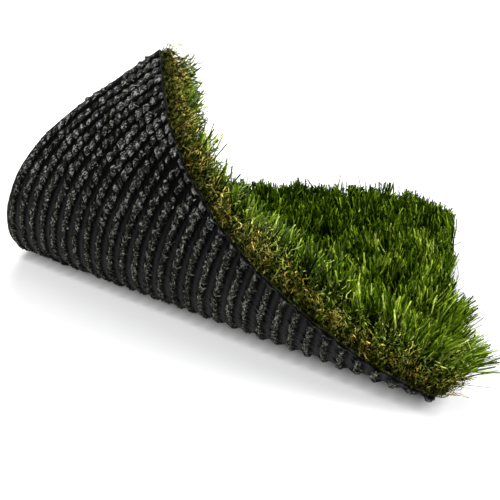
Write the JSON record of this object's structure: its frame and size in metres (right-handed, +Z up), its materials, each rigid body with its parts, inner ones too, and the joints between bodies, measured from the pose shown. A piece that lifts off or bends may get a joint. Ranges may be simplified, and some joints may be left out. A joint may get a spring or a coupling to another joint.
{
  "type": "square sample of tufted artificial turf",
  "caption": "Square sample of tufted artificial turf lying pile up, with one corner curled up and back to show the stitched black backing; ground cover stock.",
  "frame": {"origin": "on the floor under the middle of the whole sample as it lies", "axes": "+Z up; +Y along the stitch rows, away from the near edge; +X across the rows, towards the side that lies flat; the curled corner is at -X, -Y"},
  "size_m": [0.3348, 0.3064, 0.1595],
  "materials": {
    "backing": "black woven backing cloth with a matte black latex coat",
    "stitches": "matte black latex over rows of yarn back stitches, with green and straw yarn showing",
    "pile": "cut polyethylene blades in several greens over curly straw-coloured thatch"
  },
  "bodies": {
    "root": {"backing": "backing", "coated_stitches": "stitches", "pile": "pile"}
  },
  "joints": []
}
